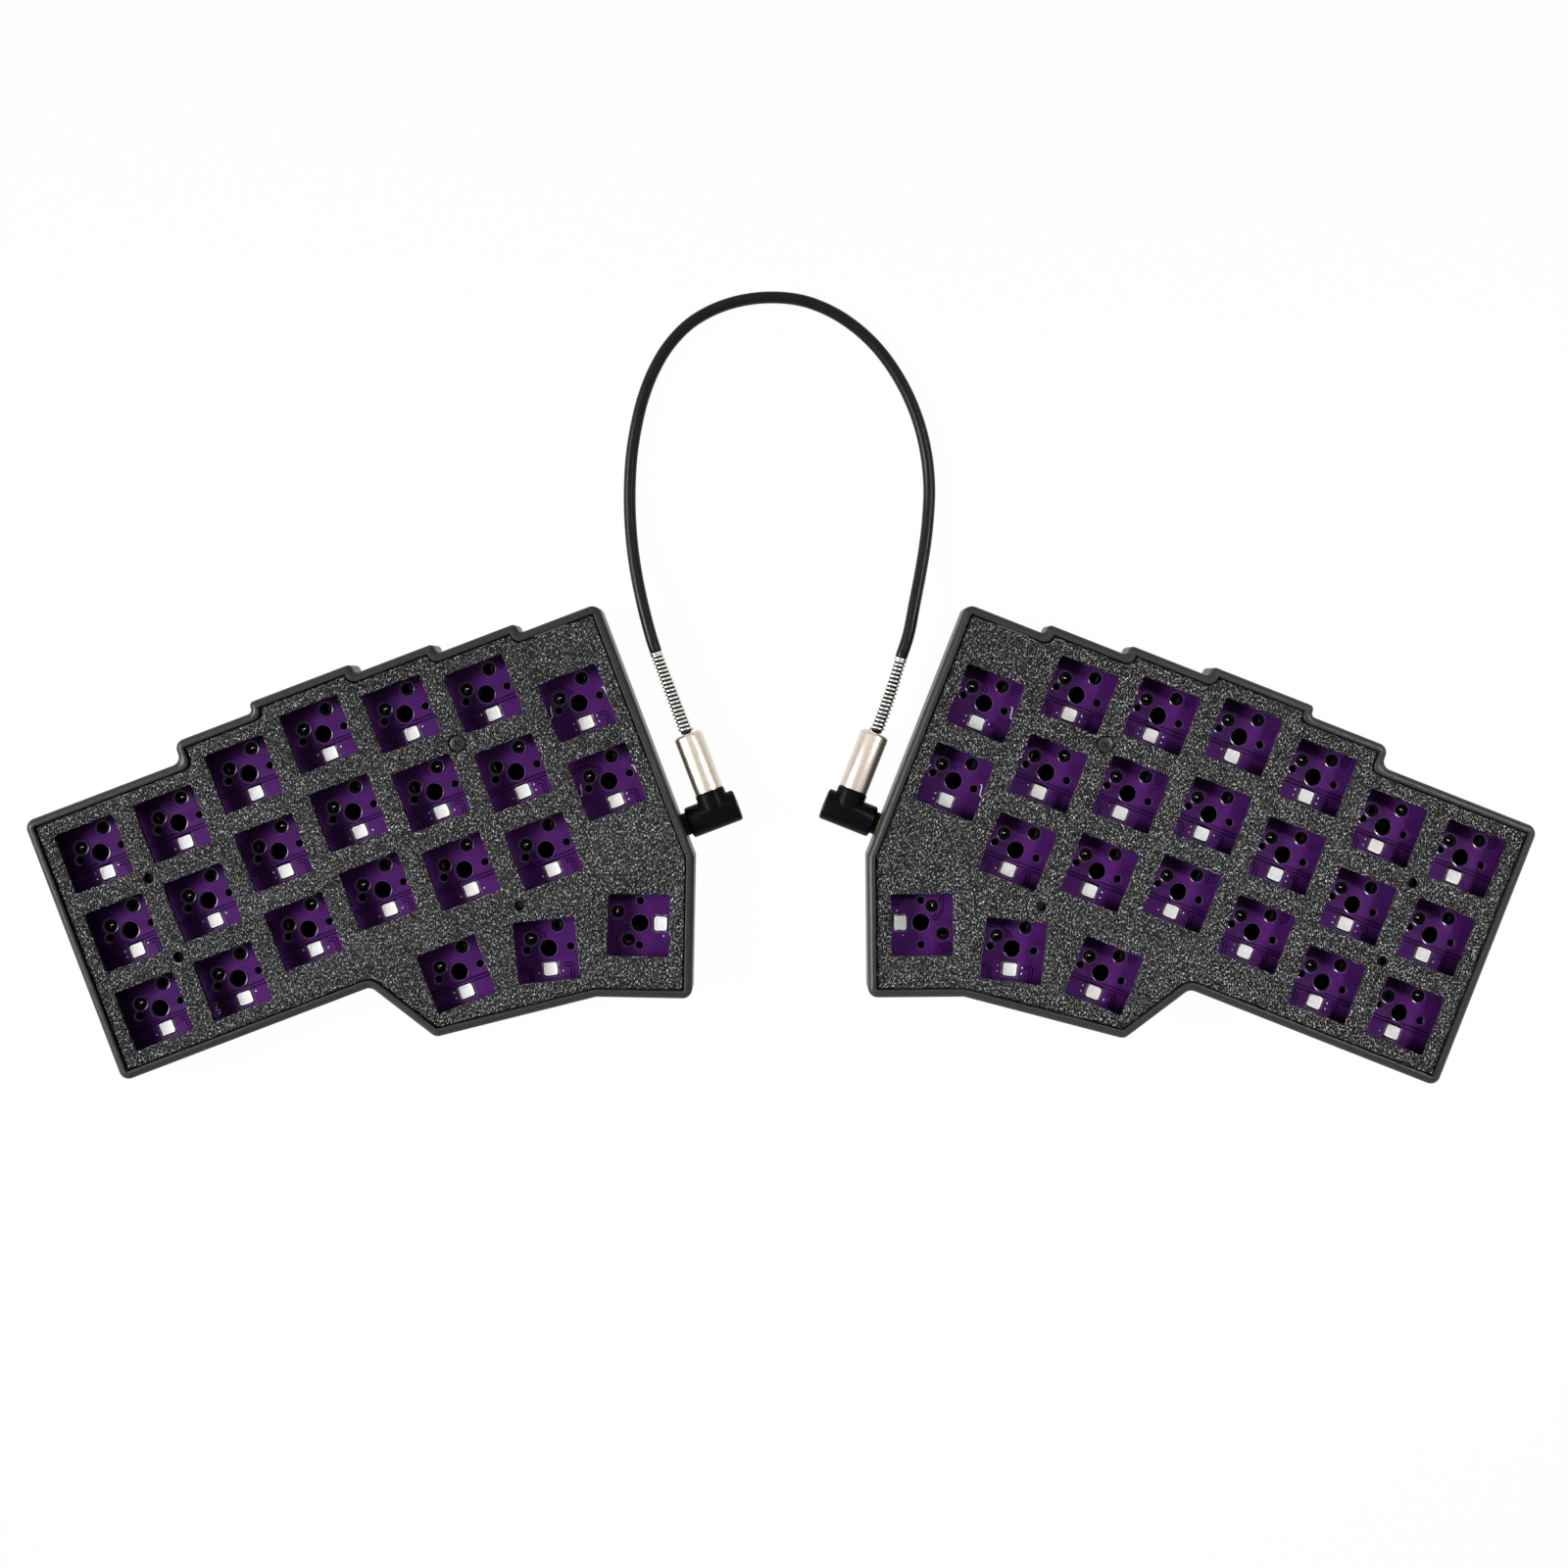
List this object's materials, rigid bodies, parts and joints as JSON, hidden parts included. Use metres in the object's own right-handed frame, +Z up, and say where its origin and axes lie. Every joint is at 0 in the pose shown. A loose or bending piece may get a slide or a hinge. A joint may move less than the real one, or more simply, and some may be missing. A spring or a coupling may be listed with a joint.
{
  "type": "split keyboard",
  "caption": "Split keyboard in two splayed low halves with bare square switch windows, lamps under them, and a short cord with right-angle plugs between the halves.",
  "frame": {"origin": "desk level under the middle of the box around the two halves", "axes": "+X along the desk from the left half to the right half, +Y away from the typist, +Z up"},
  "size_m": [0.3414, 0.1813, 0.0135],
  "materials": {
    "case_plastic": "satin",
    "plate_black": "pebble texture",
    "board_violet": "satin",
    "black_plastic": "matte",
    "tinned": "bright",
    "lamp_white": "satin",
    "ceramic": "matte",
    "brass": "bright",
    "screw_steel": "black",
    "foot_rubber": "matte",
    "gold_plated": "bright",
    "elbow_black": "gloss",
    "sleeve_metal": "polished",
    "spring_metal": "polished",
    "cord_rubber": "satin"
  },
  "bodies": {
    "left_half": {"left_case": "case_plastic", "left_plate": "plate_black", "left_board": "board_violet", "left_sockets": "black_plastic", "left_socket_contacts": "tinned", "left_lamps": "lamp_white", "left_diodes": "black_plastic", "left_controller_chip": "black_plastic", "left_memory_chip": "black_plastic", "left_crystal": "tinned", "left_regulator": "black_plastic", "left_capacitors": "ceramic", "left_port_shell": "tinned", "left_port_tongue": "black_plastic", "left_reset_switch": "tinned", "left_boot_switch": "tinned", "left_jack": "black_plastic", "left_jack_contacts": "tinned", "left_standoffs": "brass", "left_base_screws": "screw_steel", "left_plate_screw": "screw_steel", "left_feet": "foot_rubber"},
    "left_plug": {"left_plug_pin": "gold_plated", "left_plug_bands": "black_plastic", "left_plug_elbow": "elbow_black", "left_plug_sleeve": "sleeve_metal", "left_strain_relief": "spring_metal", "link_cord": "cord_rubber"},
    "right_plug": {"right_plug_pin": "gold_plated", "right_plug_bands": "black_plastic", "right_plug_elbow": "elbow_black", "right_plug_sleeve": "sleeve_metal", "right_strain_relief": "spring_metal"},
    "right_half": {"right_case": "case_plastic", "right_plate": "plate_black", "right_board": "board_violet", "right_sockets": "black_plastic", "right_socket_contacts": "tinned", "right_lamps": "lamp_white", "right_diodes": "black_plastic", "right_controller_chip": "black_plastic", "right_memory_chip": "black_plastic", "right_crystal": "tinned", "right_regulator": "black_plastic", "right_capacitors": "ceramic", "right_port_shell": "tinned", "right_port_tongue": "black_plastic", "right_reset_switch": "tinned", "right_boot_switch": "tinned", "right_jack": "black_plastic", "right_jack_contacts": "tinned", "right_standoffs": "brass", "right_base_screws": "screw_steel", "right_plate_screw": "screw_steel", "right_feet": "foot_rubber"},
    "left_reset_key": {"left_reset_button": "black_plastic"},
    "left_boot_key": {"left_boot_button": "black_plastic"},
    "right_reset_key": {"right_reset_button": "black_plastic"},
    "right_boot_key": {"right_boot_button": "black_plastic"}
  },
  "joints": [
    {"name": "left_plug_pull", "type": "slide", "parent": "left_half", "child": "left_plug", "axis": [0.9342, 0.3567, 0], "range_m": [0, 0.018]},
    {"name": "cord_reach", "type": "slide", "parent": "left_plug", "child": "right_plug", "axis": [1, 0, 0], "range_m": [-0.01, 0.04], "deforming": ["link_cord"]},
    {"name": "right_plug_pull", "type": "slide", "parent": "right_plug", "child": "right_half", "axis": [0.9304, -0.3665, 0], "range_m": [0, 0.018]},
    {"name": "left_reset_press", "type": "slide", "parent": "left_half", "child": "left_reset_key", "axis": [0, 0, 1], "range_m": [0, 0.00025], "stiffness_N_per_m": 2000},
    {"name": "left_boot_press", "type": "slide", "parent": "left_half", "child": "left_boot_key", "axis": [0, 0, 1], "range_m": [0, 0.00025], "stiffness_N_per_m": 2000},
    {"name": "right_reset_press", "type": "slide", "parent": "right_half", "child": "right_reset_key", "axis": [0, 0, 1], "range_m": [0, 0.00025], "stiffness_N_per_m": 2000},
    {"name": "right_boot_press", "type": "slide", "parent": "right_half", "child": "right_boot_key", "axis": [0, 0, 1], "range_m": [0, 0.00025], "stiffness_N_per_m": 2000}
  ]
}
